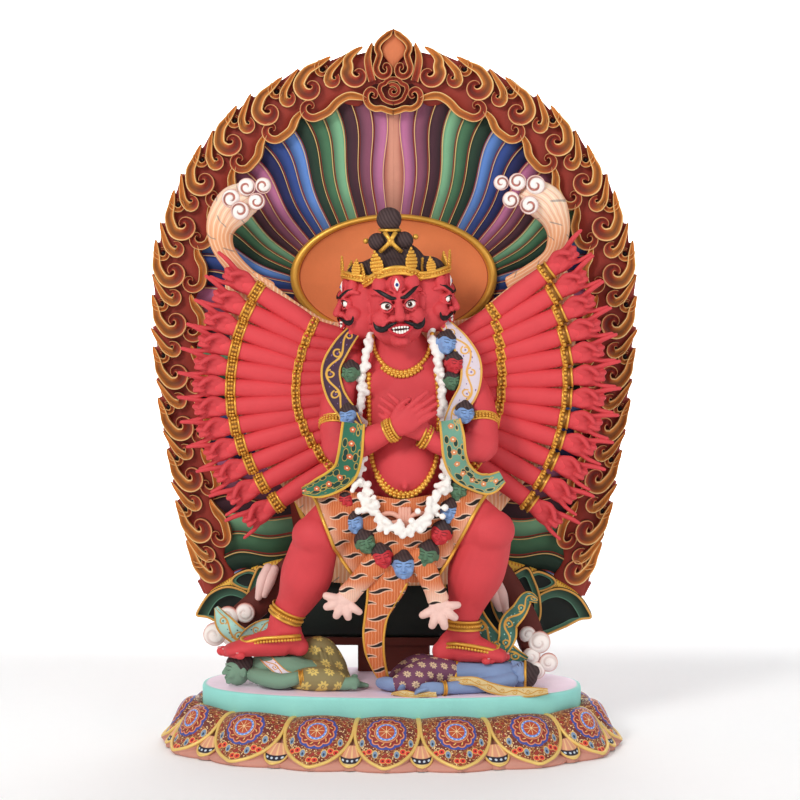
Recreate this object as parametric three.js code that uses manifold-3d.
// A painted clay altar statue, about half a metre tall: a red, many-armed wrathful figure on a lotus plinth,
// standing on two prostrate figures in front of a flame-bordered aureole.
// Millimetres, +Z up, the front faces -Y.
import * as THREE from "three";
import { mergeVertices } from "three/addons/utils/BufferGeometryUtils.js";
import Module from "manifold-3d";

const wasm = await Module();
wasm.setup();

// Driving dimensions of the plinth and the platform
const PLINTH = { height: 26.5, petals: 16, power: 2.25 };
const PLATFORM = { halfWidth: 134, halfDepth: 60, thickness: 15, centreY: 8, power: 2.4 };
const DECK = PLINTH.height + PLATFORM.thickness; // the height that the figures lie on
const GAP = 0.3; // clearance between pieces that touch

// Driving dimensions of the aureole
const ARCH = { radius: 171, centreZ: 315, footZ: 97, footInset: 36, tongue: 6, backY: 63, faceY: 54 };
const FIELD = { inset: 41, footInset: 34, dish: 50.5 };
const HALO = { halfWidth: 74.5, halfHeight: 45.5, centreZ: 327, rim: 5.5, faceY: 47 };
const BODY_HALO = { halfWidth: 80, halfHeight: 96, centreZ: 205 };
const SEAT = { halfWidth: 138, top: 121, tip: 92, bottom: 66.5, frontY: 38 };
const BEAM = { halfWidth: 72, height: 5.5, frontY: 47, backY: 64 };
const POST = { halfWidth: 26, frontY: 49, backY: 62 };

// Driving dimensions of the main figure
const CENTRE_X = 7; // the figure stands a little to its left of the middle
const FAN = {
  left: { side: -1, rootX: -24, wristX: 119, wristTop: 321, wristFoot: 166, pull: 30, first: 32, last: -34 },
  right: { side: 1, rootX: 40, wristX: 129, wristTop: 335, wristFoot: 167, pull: 25, first: 37, last: -37 },
  arms: 12, forearm: 53, rootTop: 284, rootFoot: 212, y: 14, hand: 31,
};

const PALETTE = {
  red: { color: 0xc8323a, roughness: 0.75, metalness: 0 },
  petal: { color: 0xb5654f, roughness: 0.6, metalness: 0 },
  turquoise: { color: 0x8fd8cf, roughness: 0.7, metalness: 0 },
  flame: { color: 0xa8452f, roughness: 0.65, metalness: 0 },
  hide: { color: 0xf0cdb8, roughness: 0.8, metalness: 0 },
  green: { color: 0x6f9078, roughness: 0.8, metalness: 0 },
  blue: { color: 0x7d92c2, roughness: 0.8, metalness: 0 },
  wood: { color: 0x4d2a1a, roughness: 0.7, metalness: 0 },
};

// A closed three.js geometry as a manifold-3d solid
function solid(geometry) {
  const g = geometry.index ? geometry.toNonIndexed() : geometry;
  const bare = new THREE.BufferGeometry().setAttribute("position", g.getAttribute("position"));
  const merged = mergeVertices(bare, 1e-4);
  return new wasm.Manifold(
    new wasm.Mesh({
      numProp: 3,
      vertProperties: new Float32Array(merged.attributes.position.array),
      triVerts: new Uint32Array(merged.index.array),
    }),
  );
}

const union = (solids) => solids.reduce((all, one) => all.add(one));

// A manifold-3d solid as a named mesh
function piece(name, shape, paint) {
  const m = shape.getMesh();
  const position = new Float32Array(m.numVert * 3);
  for (let i = 0; i < m.numVert; i++) {
    position.set(m.vertProperties.subarray(i * m.numProp, i * m.numProp + 3), i * 3);
  }
  const g = new THREE.BufferGeometry()
    .setAttribute("position", new THREE.BufferAttribute(position, 3))
    .setIndex(new THREE.BufferAttribute(m.triVerts, 1));
  g.computeVertexNormals();
  const mesh = new THREE.Mesh(g, new THREE.MeshStandardMaterial(PALETTE[paint]));
  mesh.name = name;
  return mesh;
}

// A closed skin over equal rings of points, with a pole at each end
function skin(rings, firstPole, lastPole) {
  const sides = rings[0].length;
  const points = [...rings.flat(), firstPole, lastPole];
  const index = [];
  for (let r = 0; r < rings.length - 1; r++) {
    for (let s = 0; s < sides; s++) {
      const a = r * sides + s;
      const b = r * sides + ((s + 1) % sides);
      index.push(a, b, b + sides, a, b + sides, a + sides);
    }
  }
  const start = points.length - 2;
  const end = points.length - 1;
  const lastRing = (rings.length - 1) * sides;
  for (let s = 0; s < sides; s++) {
    const next = (s + 1) % sides;
    index.push(start, next, s);
    index.push(end, lastRing + s, lastRing + next);
  }
  const g = new THREE.BufferGeometry().setFromPoints(points).setIndex(index);
  const made = solid(g);
  return made.volume() < 0 ? solid(flipped(g)) : made;
}

function flipped(g) {
  const index = [];
  for (let i = 0; i < g.index.count; i += 3) {
    index.push(g.index.getX(i), g.index.getX(i + 2), g.index.getX(i + 1));
  }
  return g.clone().setIndex(index);
}

// A rounded form through stations [x, y, z, half width, half depth]
function limb(stations, sides = 8, bulge = 0.45) {
  const centres = stations.map((s) => new THREE.Vector3(s[0], s[1], s[2]));
  const along = (i) =>
    new THREE.Vector3()
      .subVectors(centres[Math.min(i + 1, centres.length - 1)], centres[Math.max(i - 1, 0)])
      .normalize();
  const rings = stations.map((s, i) => {
    const t = along(i);
    const wide = new THREE.Vector3(0, 1, 0).cross(t);
    if (wide.length() < 0.3) wide.set(0, 0, 1).cross(t);
    wide.normalize();
    const deep = new THREE.Vector3().crossVectors(t, wide);
    return Array.from({ length: sides }, (_, k) => {
      const a = ((k + 0.5) / sides) * 2 * Math.PI;
      return centres[i]
        .clone()
        .addScaledVector(wide, Math.cos(a) * s[3])
        .addScaledVector(deep, Math.sin(a) * (s[4] ?? s[3]));
    });
  });
  const last = stations.length - 1;
  const tipOf = (i, sign) => centres[i].clone().addScaledVector(along(i), sign * bulge * stations[i][3]);
  return skin(rings, tipOf(0, -1), tipOf(last, 1));
}

function ball(x, y, z, rx, ry = rx, rz = rx, detail = 0) {
  return solid(new THREE.IcosahedronGeometry(1, detail).scale(rx, ry, rz).translate(x, y, z));
}

function box(x0, x1, y0, y1, z0, z1) {
  const g = new THREE.BoxGeometry(x1 - x0, y1 - y0, z1 - z0);
  return solid(g.translate((x0 + x1) / 2, (y0 + y1) / 2, (z0 + z1) / 2));
}

// An upright plate: a closed outline of [x, z] points, from the face at y0 back to y1
function plate(outline, y0, y1) {
  const shape = new THREE.Shape(outline.map(([x, z]) => new THREE.Vector2(x, z)));
  const g = new THREE.ExtrudeGeometry(shape, { depth: y1 - y0, bevelEnabled: false, curveSegments: 6 });
  return solid(g.rotateX(Math.PI / 2).translate(0, y1, 0));
}

// A ribbon of cloth: a flat section carried along [x, y, z] points, with its width turned to face the front
function ribbon(points, width, thickness) {
  return limb(points.map(([x, y, z]) => [x, y, z, width / 2, thickness / 2]), 4, 0.05);
}

// A point of a superellipse at angle a, 0 at the front and growing towards +X
function superellipse(a, halfWidth, halfDepth, power) {
  const s = Math.sin(a);
  const c = Math.cos(a);
  const r = (Math.abs(s) ** power + Math.abs(c) ** power) ** (-1 / power);
  return [r * s * halfWidth, -r * c * halfDepth];
}

const lerp = (a, b, t) => a + (b - a) * t;

// The lotus plinth: one ring of domed petals over a thin flange, with a notch between two petals
function lotusPlinth() {
  const steps = 4; // on each petal
  const count = PLINTH.petals * steps;
  const levels = [
    { z: 0, halfWidth: 152.5, halfDepth: 94.5, swell: 9 },
    { z: 4, halfWidth: 155.5, halfDepth: 97.5, swell: 9.5 },
    { z: 16.5, halfWidth: 148, halfDepth: 85, swell: 6.5 },
    { z: PLINTH.height, halfWidth: 136, halfDepth: 71, swell: 0 },
  ];
  const rings = levels.map(({ z, halfWidth, halfDepth, swell }) =>
    Array.from({ length: count }, (_, k) => {
      const across = Math.abs(((k % steps) / steps) * 2 - 1); // 1 in the notch, 0 on the petal's midline
      const out = swell * (Math.sqrt(1 - across ** 2) + 0.1 * Math.max(0, 1 - 3 * across));
      const a = evenAngle((k / count) * 2 * Math.PI + Math.PI / PLINTH.petals);
      const [x, y] = superellipse(a, halfWidth + out, halfDepth + out, PLINTH.power);
      return new THREE.Vector3(x, y, z);
    }),
  );
  const middle = (z) => new THREE.Vector3(0, 0, z);
  return skin(rings, middle(0), middle(PLINTH.height));
}

// Bends an even angle so that the petals of the oval ring come out about equally wide
function evenAngle(arc) {
  return arc - 0.11 * Math.sin(2 * arc);
}

function ovalPlatform() {
  const sides = 28;
  const ring = (z, inset) =>
    Array.from({ length: sides }, (_, k) => {
      const a = (k / sides) * 2 * Math.PI;
      const [x, y] = superellipse(a, PLATFORM.halfWidth - inset, PLATFORM.halfDepth - inset, PLATFORM.power);
      return new THREE.Vector3(x, y + PLATFORM.centreY, z);
    });
  const rings = [ring(PLINTH.height, 0.6), ring(DECK - 1.5, 0), ring(DECK, 1.5)];
  const middle = (z) => new THREE.Vector3(0, PLATFORM.centreY, z);
  return skin(rings, middle(PLINTH.height), middle(DECK));
}

// The arch that the flame border follows: t runs from the left foot over the top to the right foot
function arch(t, out) {
  const side = t < 0.5 ? -1 : 1;
  const s = Math.abs(t - 0.5) * 2;
  const shoulder = 0.55; // the share of the way that is the half circle
  if (s < shoulder) {
    const a = (s / shoulder) * (Math.PI / 2);
    const r = ARCH.radius + out;
    return [side * r * Math.sin(a), ARCH.centreZ + r * Math.cos(a)];
  }
  const down = (s - shoulder) / (1 - shoulder);
  const z = lerp(ARCH.centreZ, ARCH.footZ, down);
  return [side * (ARCH.radius + out - ARCH.footInset * down ** 1.9), z];
}

// The left half of the flame outline: each tongue swells from the arch and its tip leans towards the top
function flameOutline(tongues) {
  const points = [];
  for (let k = 0; k < tongues; k++) {
    const at = (share, out) => arch((k + share) / (2 * tongues), out);
    points.push(at(0, -3), at(0.5, 4), at(1, ARCH.tongue));
  }
  return points.filter(([x]) => x < -30);
}

// The pointed finial over the middle of the arch
const FINIAL_HALF = [[-25, 484], [-19, 488], [-13, 487], [-8, 497]];

const FINIAL_TOP = 504;

// The other half of an outline, in the order that closes it
const mirrored = (half) => half.map(([x, z]) => [-x, z]).reverse();

function aureolePlate() {
  const left = flameOutline(17);
  const finial = [...FINIAL_HALF, [0, FINIAL_TOP], ...mirrored(FINIAL_HALF)];
  return plate([...left, ...finial, ...mirrored(left)], ARCH.faceY, ARCH.backY);
}

// The raised border: the band between the arch and the scalloped edge of the field
function flameBorder() {
  const steps = 20;
  const outer = Array.from({ length: steps + 1 }, (_, k) => arch(k / steps, -9));
  const inner = Array.from({ length: 2 * steps + 1 }, (_, k) => {
    const scallop = k % 4 === 0 ? -3 : 3;
    return fieldEdge(1 - k / (2 * steps), scallop);
  });
  return plate([...outer, ...inner], ARCH.faceY - 4, ARCH.faceY + 1);
}

function fieldEdge(t, out = 0) {
  const s = Math.abs(t - 0.5) * 2;
  return arch(t, -lerp(FIELD.inset, FIELD.footInset, Math.max(0, s - 0.55) / 0.45) + out);
}

// Flames that stand on the border: a round curl that runs out into a tongue leaning towards the top
function flameScrolls() {
  const made = [];
  const count = 14;
  const comma = [[-0.5, -32], [-0.6, -22], [0.1, -16], [0.9, -3], [0.5, -22], [0, -32]];
  for (let k = 0; k < count; k++) {
    const t = (k + 0.5) / count;
    const lean = t < 0.5 ? 1 : -1;
    const outline = comma.map(([dt, out]) => arch(t + (lean * dt) / count, out));
    made.push(plate(outline, ARCH.faceY - 8, ARCH.faceY - 3));
  }
  made.push(disc([0, 462], 16, ARCH.faceY - 9, ARCH.faceY, 8));
  made.push(disc([0, 441], 14, ARCH.faceY - 10, ARCH.faceY, 8));
  return made;
}

function disc([x, z], radius, y0, y1, sides) {
  const points = Array.from({ length: sides }, (_, k) => {
    const a = (k / sides) * 2 * Math.PI;
    return [x + radius * Math.cos(a), z + radius * Math.sin(a)];
  });
  return plate(points, y0, y1);
}

// The edge that the rays spring from: the head halo above, the body halo below;
// s is 0 at the top and 1 at the foot
function rayRoot(s) {
  const a = Math.min(s / 0.5, 1) * 1.75;
  const head = [HALO.halfWidth * Math.sin(a), HALO.centreZ + HALO.halfHeight * Math.cos(a)];
  const down = Math.max(0, s - 0.5) / 0.5;
  const body = [lerp(head[0], 66, down) + 10 * Math.sin(Math.PI * down), lerp(head[1], 99, down)];
  return down > 0 ? body : head;
}

// The field: wavy rays in relief, ridge and groove in turn, from the halo out to the border
function rayField() {
  const rays = 18; // on each side
  const spans = 3;
  const grid = [];
  for (let k = -rays; k <= rays; k++) {
    const s = Math.abs(k) / rays;
    const root = rayRoot(s);
    const edge = fieldEdge(0.5 + s / 2, 5);
    const column = [];
    for (let j = 0; j <= spans; j++) {
      const f = j / spans;
      const wave = 3.5 * Math.sin(f * Math.PI * 1.8) * (1 - s * 0.3);
      const x = lerp(root[0], Math.abs(edge[0]), f) + wave * Math.cos(s * 2.4);
      const z = lerp(root[1], edge[1], f) - wave * Math.sin(s * 2.4);
      const ridge = k % 2 === 0 ? -1.6 : 0;
      column.push(new THREE.Vector3(Math.sign(k) * x, FIELD.dish + 2 + ridge, z));
    }
    if (k === 0) column.forEach((p) => (p.x = 0));
    grid.push(column);
  }
  return relief(grid, ARCH.faceY + 1);
}

// A closed solid between a grid of points and a flat back
function relief(grid, backY) {
  const rows = grid[0].length;
  const front = grid.flat();
  const flat = (p) => new THREE.Vector3(p.x, backY, p.z);
  const points = [...front, ...grid.flatMap((column) => [flat(column[0]), flat(column[rows - 1])])];
  const at = (c, r) => c * rows + r;
  const low = (c) => front.length + 2 * c;
  const high = (c) => low(c) + 1;
  const index = [];
  const quad = (a, b, c, d) => index.push(a, b, c, a, c, d);
  for (let c = 0; c < grid.length - 1; c++) {
    for (let r = 0; r < rows - 1; r++) {
      quad(at(c, r), at(c + 1, r), at(c + 1, r + 1), at(c, r + 1));
    }
    quad(low(c), high(c), high(c + 1), low(c + 1));
    quad(at(c, 0), low(c), low(c + 1), at(c + 1, 0));
    quad(at(c, rows - 1), at(c + 1, rows - 1), high(c + 1), high(c));
  }
  const last = grid.length - 1;
  for (let r = 0; r < rows - 1; r++) {
    index.push(low(0), at(0, r), at(0, r + 1), low(last), at(last, r + 1), at(last, r));
  }
  index.push(low(0), at(0, rows - 1), high(0), low(last), high(last), at(last, rows - 1));
  const g = new THREE.BufferGeometry().setFromPoints(points).setIndex(index);
  const made = solid(g);
  return made.volume() < 0 ? solid(flipped(g)) : made;
}

function oval(halfWidth, halfHeight, centreZ, sides, x = 0) {
  return Array.from({ length: sides }, (_, k) => {
    const a = (k / sides) * 2 * Math.PI;
    return [x + halfWidth * Math.cos(a), centreZ + halfHeight * Math.sin(a)];
  });
}

function headHalo() {
  const sides = 18;
  const rim = plate(oval(HALO.halfWidth, HALO.halfHeight, HALO.centreZ, sides), HALO.faceY, ARCH.faceY + 1);
  const dip = oval(HALO.halfWidth - HALO.rim, HALO.halfHeight - HALO.rim, HALO.centreZ, sides);
  return rim.subtract(plate(dip, HALO.faceY - 1, HALO.faceY + 3));
}

function bodyHalo() {
  const outline = oval(BODY_HALO.halfWidth, BODY_HALO.halfHeight, BODY_HALO.centreZ, 16);
  return plate(outline, ARCH.faceY - 5, ARCH.faceY + 1);
}

// The half lotus that the aureole stands in, with a long petal curling up at each end
function lotusSeat() {
  const wings = [-1, 1].map((side) =>
    limb([
      [side * 20, 50, 92, 26, 12],
      [side * 58, 49, 92, 25, 13],
      [side * 90, 49, 91, 19, 13],
      [side * 114, 49, 90, 14, 12],
      [side * 131, 48, 92, 6, 8],
    ], 6, 0.6),
  );
  const cup = limb([
    [0, 51, SEAT.bottom + 1, 74, 12],
    [0, 50, 80, 96, 14],
    [0, 50, 100, 92, 13],
    [0, 51, 116, 66, 10],
  ], 10, 0.05);
  const cut = box(-200, 200, 0, 100, 0, SEAT.bottom).add(box(-200, 200, ARCH.backY, 100, 0, 300));
  return union([...wings, cup]).subtract(cut);
}

function aureole() {
  return union([
    aureolePlate(), flameBorder(), ...flameScrolls(), rayField(), bodyHalo(), headHalo(), lotusSeat(),
  ]);
}

// The outline of an open hand: [along the arm, across it], with the first and last fingers stretched
const HAND = [[-3, -4.6], [31, -7], [20, 0], [31, 7], [-3, 4.6]];

// A fan of twelve arms on one side: forearms side by side, growing out of a common mass of upper arms
function armFan({ side, rootX, wristX, wristTop, wristFoot, pull, first, last }) {
  const made = [];
  const elbows = [];
  for (let k = 0; k < FAN.arms; k++) {
    const s = k / (FAN.arms - 1);
    const bow = (2 * s - 0.95) ** 2;
    const wrist = [side * (wristX - pull * bow * (s > 0.5 ? 1 : 0.72)), lerp(wristTop, wristFoot, s)];
    const turn = THREE.MathUtils.degToRad(lerp(first, last, s));
    const dir = [side * Math.cos(turn), Math.sin(turn)];
    const spot = (d, across) => [
      wrist[0] + dir[0] * d - dir[1] * across,
      wrist[1] + dir[1] * d + dir[0] * side * across,
    ];
    const at = (d, r, depth) => [spot(d, 0)[0], FAN.y, spot(d, 0)[1], r, depth];
    made.push(
      limb([at(-FAN.forearm - 1, 5, 6), at(-10, 8.6, 8.6), at(3, 5.6, 6)], 4, 0),
      plate(HAND.map(([d, across]) => spot(d, across)), FAN.y - 5.5, FAN.y + 1),
    );
    elbows.push(spot(-FAN.forearm, 0));
  }
  const root = [[rootX, FAN.rootFoot - 4], [rootX, FAN.rootTop]];
  return union([plate([...elbows, ...root], FAN.y - 6.5, FAN.y + 6), ...made]);
}

function torso() {
  const x = CENTRE_X;
  return union([
    limb([[x + 3, 4, 176, 28, 20], [x + 4, -6, 200, 31, 26], [x + 3, 0, 226, 30, 22], [x + 2, 2, 252, 36, 19],
      [x + 2, 4, 268, 38, 16], [x - 1, 2, 280, 16, 13]], 8, 0.1),
    ball(x + 4, -18, 202, 24, 22, 27, 1),
    limb([[x - 2, 0, 274, 14, 13], [x - 3, -4, 292, 13, 13]], 6),
    box(rangeOf("left") + 4, rangeOf("right") - 4, 6, 21, 210, 276),
  ]);
}

const rangeOf = (side) => FAN[side].rootX;

// The front pair of arms, crossed at the wrists before the chest
function frontArms() {
  return union([
    limb([[-28, -2, 268, 11, 12], [-37, -14, 240, 11, 12], [-34, -26, 214, 11, 11]], 7, 0.3),
    limb([[-34, -26, 212, 10, 10], [-8, -42, 222, 9, 9], [8, -50, 229, 6.5, 6.5], [20, -51, 238, 8, 4],
      [35, -50, 247, 4, 3]], 6, 0.3),
    limb([[46, -2, 268, 11, 12], [61, -12, 243, 11, 12], [63, -25, 217, 11, 11]], 7, 0.3),
    limb([[63, -26, 214, 10, 10], [38, -38, 218, 9, 9], [19, -43, 224, 6.5, 6.5], [9, -44, 236, 8, 4],
      [-4, -43, 249, 4, 3]], 6, 0.3),
  ]);
}

const SOLE = { leftX: [-118, -62], rightX: [30, 82], y: [-26, 0], left: 66, right: 63 };

// Both legs, bent at the knee in the dancing step, with an anklet each; the feet point outwards
function legs() {
  return union([
    limb([[-8, 0, 178, 22, 20], [-34, -20, 164, 19, 19], [-52, -33, 150, 16, 16]], 7),
    limb([[-51, -33, 148, 15, 15], [-57, -22, 124, 18, 17], [-66, -14, 105, 14, 13],
      [-75, -13, 84, 11, 10]], 6),
    limb([[-74, -12, 91, 13, 12], [-74, -12, 98, 13, 12]], 7, 0),
    limb([[-64, -13, 71, 7, 9], [-80, -14, 75, 11, 11], [-100, -15, 71, 6, 11],
      [-118, -15, 69.5, 3, 8]], 6, 0.1),
    limb([[22, 0, 178, 22, 20], [50, -20, 166, 21, 20], [70, -33, 154, 18, 17]], 7),
    limb([[68, -33, 148, 17, 17], [60, -22, 126, 20, 18], [53, -14, 104, 14, 13],
      [50, -13, 82, 10.5, 10]], 6),
    limb([[50, -12, 83, 12, 11.5], [50, -12, 91, 12, 11.5]], 7, 0),
    limb([[34, -13, 69, 6, 9], [50, -14, 73, 11, 11], [68, -15, 66.5, 6, 11],
      [81, -15, 64, 2.8, 8]], 6, 0.1),
  ]);
}

// The tiger skin: a wrap over the hips, two hanging paws, and the long tail down to the platform
function tigerSkin() {
  const x = CENTRE_X;
  return union([
    limb([[x + 3, 0, 183, 30, 25], [x + 3, -3, 172, 60, 27], [x + 1, -8, 154, 50, 29],
      [x - 3, -12, 136, 38, 28], [x - 4, -16, 120, 28, 22]], 9, 0.05),
    limb([[-8, -34, 132, 9, 4], [-22, -37, 118, 8, 4], [-34, -39, 106, 9, 5]], 6),
    limb([[16, -34, 134, 9, 4], [27, -37, 116, 8, 4], [34, -39, 101, 9, 5]], 6),
    limb([[0, -34, 124, 16, 6], [-2, -36, 108, 13, 4], [-9, -37, 90, 7.5, 3.5], [-11, -35, 72, 7, 3.5],
      [-7, -28, 56, 5, 3], [-2, -18, DECK + GAP + 1.5, 4, 1.2]], 6, 0.1),
  ]);
}

// One head in the row of severed heads
const smallHead = ([x, y, z]) => ball(x, y, z, 7, 6.5, 8.2);

// The bone garland from the shoulders to the lap, and the row of heads below and beside it
function garlands() {
  const lower = [[-28, -27, 176], [-23, -33, 162], [-17, -38, 149], [-5, -41, 140], [10, -41, 134],
    [26, -38, 143], [36, -35, 156], [41, -31, 169], [46, -26, 183]];
  const upper = [[-27, -18, 262], [-26, -32, 236], [51, -32, 238], [43, -18, 258], [44, -17, 270],
    [39, -13, 283]];
  return union([
    ...lower.map(smallHead),
    ...upper.map(smallHead),
    limb([[-12, -13, 284, 4, 3.5], [-18, -26, 240, 5, 4], [-18, -34, 186, 5, 4], [-10, -42, 165, 5, 4],
      [4, -46, 155, 6, 4.5], [18, -46, 155, 6, 4.5], [30, -41, 166, 5, 4], [38, -33, 190, 5, 4],
      [35, -26, 240, 5, 4], [27, -12, 284, 4, 3.5]], 5),
  ]);
}

// The shawl: over both shoulders, round the elbows and hanging to the hips
function shawl() {
  return union([
    ribbon([[-30, -12, 291], [-41, -16, 268], [-37, -23, 250], [-22, -32, 236], [-17, -36, 226]], 13, 5),
    ribbon([[-22, -44, 232], [-24, -46, 214], [-27, -38, 196], [-36, -28, 186], [-50, -24, 182]], 17, 5),
    ribbon([[43, -12, 293], [56, -16, 270], [52, -23, 250], [42, -32, 236]], 14, 5),
    ribbon([[46, -44, 228], [48, -46, 212], [52, -40, 194], [62, -32, 186], [71, -28, 190]], 16, 5),
  ]);
}

// The heads: the large face turned to the front, one on each side and one behind, under a crown and a topknot
function heads() {
  const x = CENTRE_X - 4;
  const face = (fx, fy, r) =>
    limb([[fx, fy, 287, 0.5 * r, 0.5 * r], [fx, fy, 300, r, r], [fx, fy, 333, 0.85 * r, 0.85 * r]], 6, 0.1);
  const leaf = ([lx, ly]) => limb([[x + lx, ly, 331, 4.6, 3], [x + lx, ly - 1, 343, 1.6, 1.2]], 3, 0.5);
  return union([
    limb([[x, -12, 285, 9, 8], [x, -14, 291, 15, 14], [x, -12, 305, 20, 17], [x, -6, 334, 19, 20]], 8, 0.2),
    ball(x + 0.5, -30, 310, 3.6, 4, 5),
    ball(x, -27.5, 296, 8, 3.6, 4.5),
    face(x - 22, -2, 15.5), face(x + 23, -2, 15.5), face(x, 7, 17),
    limb([[x, -4, 326, 36, 23.5], [x, -4, 334, 36, 23.5]], 9, 0),
    limb([[x, 0, 332, 29, 18], [x, -2, 342, 19, 15], [x - 2, -5, 354, 10, 9],
      [x - 3, -7, 364, 6, 6]], 7, 0.1),
    ball(x - 4, -8, 369, 8.8, 8.8, 8.4),
    ball(x - 12, -9, 354, 6.4), ball(x + 7, -9, 354, 6.4),
    ...[[-12, -25], [0, -27], [12, -25], [-25, -19], [-34, -9], [25, -19], [34, -9]].map(leaf),
  ]);
}

function mainFigure() {
  return union([
    torso(), armFan(FAN.left), armFan(FAN.right), frontArms(), legs(), tigerSkin(), garlands(),
    shawl(), heads(),
  ]);
}

// One foot of the hide, seen from the front as five round curls
function hideFoot(x, y, z, start) {
  const lobes = 5;
  const outline = Array.from({ length: lobes * 2 }, (_, k) => {
    const a = start + (k * Math.PI) / lobes;
    const r = k % 2 === 0 ? 13 : 18;
    return [x + r * Math.cos(a), z + r * Math.sin(a)];
  });
  return plate(outline, y - 8, y + 4);
}

// The flayed hide: a sheet behind the arms, with two feet rolled up at the top and two hanging at the foot
function elephantHide() {
  const edge = [
    [-56, 112], [-58, 150], [-104, 215], [-116, 290], [-118, 336], [-104, 335], [-60, 305], [-34, 295],
    [46, 298], [72, 313], [106, 340], [122, 338], [130, 290], [116, 215], [70, 150], [66, 112],
  ];
  return union([
    plate(edge, 27, 33),
    limb([[-107, 29, 328, 6, 3], [-120, 26, 346, 7.5, 4], [-121, 24, 357, 9, 6], [-115, 20, 372, 13, 7],
      [-101, 18, 383, 8, 6]], 6),
    hideFoot(-100, 17, 383, 0.5),
    limb([[107, 29, 332, 6, 3], [116, 26, 348, 7, 4], [117, 24, 358, 8, 6], [111, 20, 373, 13, 7],
      [92, 18, 388, 8, 6]], 6),
    hideFoot(90, 17, 388, 0.2),
    limb([[-52, 30, 132, 11, 4], [-84, 24, 106, 10, 6], [-112, 19, 78, 10, 6]], 5),
    hideFoot(-115, 19, 75, 0.3),
    limb([[62, 30, 130, 11, 4], [86, 24, 100, 10, 6], [107, 16, 64, 10, 6]], 5),
    hideFoot(107, 17, 60, 0.7),
  ]);
}

// The prone figure under the right foot: head to the left, hips raised
function proneFigure() {
  const z = DECK;
  return union([
    limb([[-117, -4, z + 8, 5, 6], [-111, -5, z + 14, 10, 10], [-104, -5, z + 16, 8, 9]], 7),
    limb([[-108, -4, z + 11, 6, 7], [-88, -5, z + 13, 11, 14], [-62, -10, z + 12, 10, 14],
      [-50, -8, z + 12, 11, 14]], 7),
    limb([[-94, -14, z + 10, 6, 6], [-84, -24, z + 7, 5.5, 5.5], [-64, -26, z + 9, 5, 5]], 5),
    limb([[-58, 0, z + 10, 9, 12], [-50, 2, z + 21, 11, 12], [-42, 0, z + 16, 9, 11],
      [-36, -4, z + 6, 6, 9]], 7),
    limb([[-66, -22, z + 7, 6, 7], [-46, -26, z + 9, 8, 8], [-27, -26, z + 6, 5, 5]], 5),
  ]).subtract(belowDeck()).subtract(underFoot("left"));
}

// The supine figure under the left foot: head to the right
function supineFigure() {
  const z = DECK;
  return union([
    limb([[102, -12, z + 9, 8, 8], [94, -13, z + 12, 10.5, 10], [85, -13, z + 10, 7, 8]], 7),
    limb([[86, -12, z + 9, 7, 10], [64, -12, z + 11, 10, 15], [46, -12, z + 10, 9, 14],
      [34, -12, z + 11, 10, 13]], 7),
    limb([[82, -22, z + 8, 6, 6], [58, -31, z + 6, 5, 5], [31, -42, z + 5, 5, 5]], 5),
    limb([[36, -16, z + 11, 9, 12], [20, -22, z + 13, 8, 9], [2, -30, z + 4, 4, 4]], 6),
    limb([[36, -2, z + 10, 9, 10], [20, 0, z + 14, 8, 8], [8, -2, z + 8, 5, 5]], 5),
  ]).subtract(belowDeck()).subtract(underFoot("right"));
}

const belowDeck = () => box(-200, 200, -100, 100, 0, DECK);

// The space that a foot of the main figure takes
function underFoot(side) {
  const [x0, x1] = SOLE[side + "X"];
  return box(x0 - 1, x1 + 1, SOLE.y[0] - 3, SOLE.y[1] + 3, SOLE[side] - 2.5, SOLE[side] + 60);
}

function soleCut() {
  const left = box(-140, -50, -60, 30, DECK, SOLE.left - 2.5 + GAP);
  const right = box(18, 95, -60, 30, DECK, SOLE.right - 2.5 + GAP);
  return left.add(right);
}

// A plain wooden bar across the middle, between two heights
const bar = ({ halfWidth, frontY, backY }, z0, z1) => box(-halfWidth, halfWidth, frontY, backY, z0, z1);

const statue = new THREE.Group();
const tail = box(-12, 12, -40, 10, DECK, 60);
const figure = mainFigure().subtract(soleCut().subtract(tail));
const back = aureole().subtract(box(-200, 200, -20, 36, 0, 600));
const hide = elephantHide().subtract(figure);
statue.add(
  piece("lotus_plinth", lotusPlinth(), "petal"),
  piece("oval_platform", ovalPlatform(), "turquoise"),
  piece("many_armed_figure", figure, "red"),
  piece("elephant_hide", hide, "hide"),
  piece("prone_figure", proneFigure(), "green"),
  piece("supine_figure", supineFigure(), "blue"),
  piece("flame_aureole", back, "flame"),
  piece("aureole_beam", bar(BEAM, SEAT.bottom - BEAM.height, SEAT.bottom), "wood"),
  piece("aureole_post", bar(POST, DECK, SEAT.bottom - BEAM.height), "wood"),
);

export default statue;
